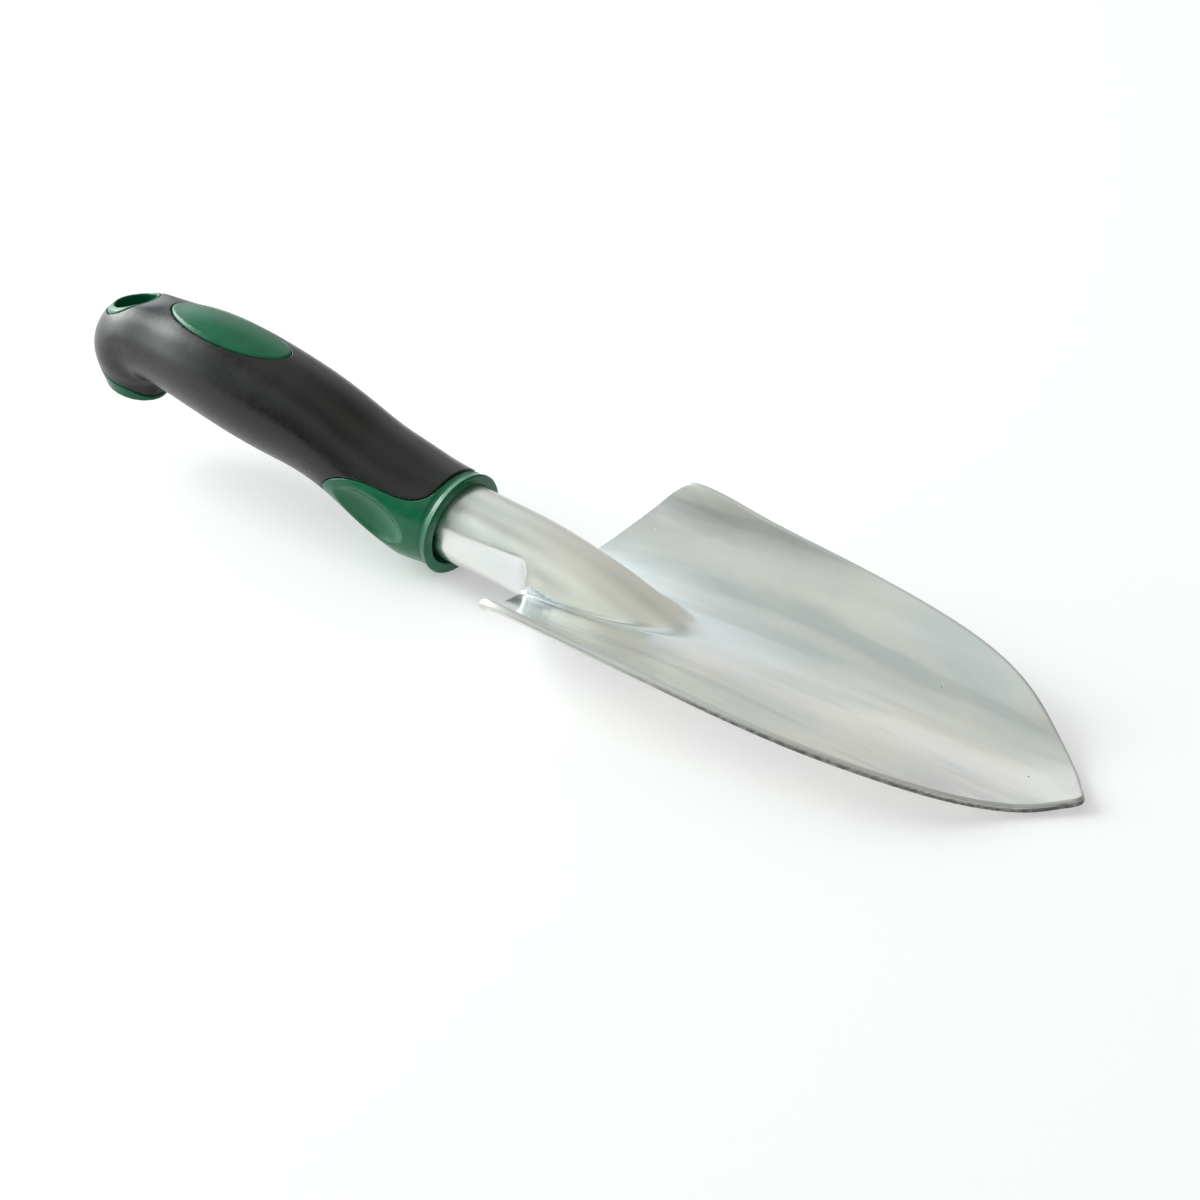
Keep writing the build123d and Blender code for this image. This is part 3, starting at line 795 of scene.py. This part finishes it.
# =============================================================================================
# floor, light, camera
# =============================================================================================
floor_me = bpy.data.meshes.new("floor")
floor_me.from_pydata([(-6, -6, 0), (6, -6, 0), (6, 6, 0), (-6, 6, 0)], [], [(0, 1, 2, 3)])
floor = bpy.data.objects.new("floor", floor_me)
bpy.context.scene.collection.objects.link(floor)
fm = bpy.data.materials.new("pale_floor")
fm.use_nodes = True
fb = fm.node_tree.nodes["Principled BSDF"]
fb.inputs["Base Color"].default_value = (0.75, 0.75, 0.75, 1)
fb.inputs["Emission Color"].default_value = (1.0, 0.98, 1.0, 1)
fb.inputs["Emission Strength"].default_value = 0.33
fb.inputs["Roughness"].default_value = 0.6
fb.inputs["Specular IOR Level"].default_value = 0.2
floor_me.materials.append(fm)

# soft surroundings: bright to the left, dim in front and overhead (azimuth, elevation, tightness, colour)
GLOWS = [(-120, 8, 40, (2.3, 2.4, 2.2)), (-120, 27, 40, (1.3, 1.6, 1.75)), (-100, 8, 40, (3.0, 3.0, 2.8)),
         (-100, 27, 40, (3.8, 4.2, 4.2)), (-80, 8, 40, (2.6, 2.9, 2.6)), (-60, 8, 40, (5.7, 6.1, 5.8)),
         (-60, 27, 40, (1.1, 1.3, 1.4)), (-20, 27, 40, (0.42, 0.48, 0.46)), (-20, 46, 40, (1.13, 1.2, 1.13)),
         (-150, 12, 12, (0.39, 0.39, 0.42)), (-150, 38, 12, (0.56, 0.57, 0.53)),
         (110, 20, 12, (0.25, 0.25, 0.24)), (180, 20, 12, (0.20, 0.20, 0.20)),
         (20, 20, 12, (0.55, 0.50, 0.50)), (60, 50, 12, (0.80, 0.88, 0.84)),
         (-100, 66, 12, (0.46, 0.50, 0.50)), (0, 90, 12, (0.56, 0.54, 0.48)), (150, 40, 12, (0.20, 0.18, 0.18))]
world = bpy.data.worlds.new("studio")
bpy.context.scene.world = world
world.use_nodes = True
wt = world.node_tree
bg = wt.nodes["Background"]
sky = wt.nodes.new("ShaderNodeTexCoord")


def heading(az, el):
    """Unit vector: azimuth 0 is -Y, 90 is +X; elevation above the floor, both in degrees."""
    a, e = math.radians(az), math.radians(el)
    return math.sin(a) * math.cos(e), -math.cos(a) * math.cos(e), math.sin(e)


def glow(az, el, tight, colour):
    """A soft round patch of light in the surroundings."""
    dot = wt.nodes.new("ShaderNodeVectorMath")
    dot.operation = "DOT_PRODUCT"
    dot.inputs[1].default_value = heading(az, el)
    wt.links.new(sky.outputs["Generated"], dot.inputs[0])
    last = dot.outputs["Value"]
    for op, v in (("MAXIMUM", 0.0), ("POWER", tight)):
        k = wt.nodes.new("ShaderNodeMath")
        k.operation = op
        k.inputs[1].default_value = v
        wt.links.new(last, k.inputs[0])
        last = k.outputs[0]
    k = wt.nodes.new("ShaderNodeVectorMath")
    k.operation = "SCALE"
    k.inputs[0].default_value = colour
    wt.links.new(last, k.inputs["Scale"])
    return k.outputs[0]


total = None
for az, el, tight, colour in GLOWS:
    patch = glow(az, el, tight, colour)
    if total is not None:
        k = wt.nodes.new("ShaderNodeVectorMath")
        wt.links.new(total, k.inputs[0])
        wt.links.new(patch, k.inputs[1])
        patch = k.outputs[0]
    total = patch
wt.links.new(total, bg.inputs["Color"])
bg.inputs["Strength"].default_value = 1.0


def softbox(name, at, to, size, power, color=(1, 1, 1)):
    L = bpy.data.lights.new(name, "AREA")
    L.shape = "RECTANGLE"
    L.size, L.size_y = size
    L.energy = power
    L.color = color
    ob = bpy.data.objects.new(name, L)
    bpy.context.scene.collection.objects.link(ob)
    ob.location = at
    ob.rotation_euler = (Vector(to) - Vector(at)).to_track_quat("-Z", "Y").to_euler()
    return ob


softbox("softbox", Vector(heading(-80, 27)) * 1.25, (0, 0, 0), (0.55, 0.55), 10.6 * math.pi * 0.55**2,
        (0.98, 1.0, 0.99))

AZ, EL, ROLL, DIST = math.radians(40.61), math.radians(28.36), math.radians(-1.43), 1.0
TARGET = Vector((0.0151, 0.0, 0.00688))
back = Vector((math.sin(AZ) * math.cos(EL), -math.cos(AZ) * math.cos(EL), math.sin(EL)))
right = Vector((math.cos(AZ), math.sin(AZ), 0))
up = back.cross(right)
r2 = math.cos(ROLL) * right + math.sin(ROLL) * up
u2 = -math.sin(ROLL) * right + math.cos(ROLL) * up
cam = bpy.data.cameras.new("camera")
cam_ob = bpy.data.objects.new("camera", cam)
bpy.context.scene.collection.objects.link(cam_ob)
cam.sensor_fit = "HORIZONTAL"
cam.sensor_width = 36.0
cam.lens = 3964.0 * 36.0 / 1200.0
cam.clip_start, cam.clip_end = 0.05, 50
rot = Matrix((r2, u2, back)).transposed().to_4x4()
cam_ob.matrix_world = Matrix.Translation(TARGET + back * DIST) @ rot
bpy.context.scene.camera = cam_ob

bpy.context.scene.view_settings.view_transform = "Standard"
bpy.context.scene.view_settings.look = "None"
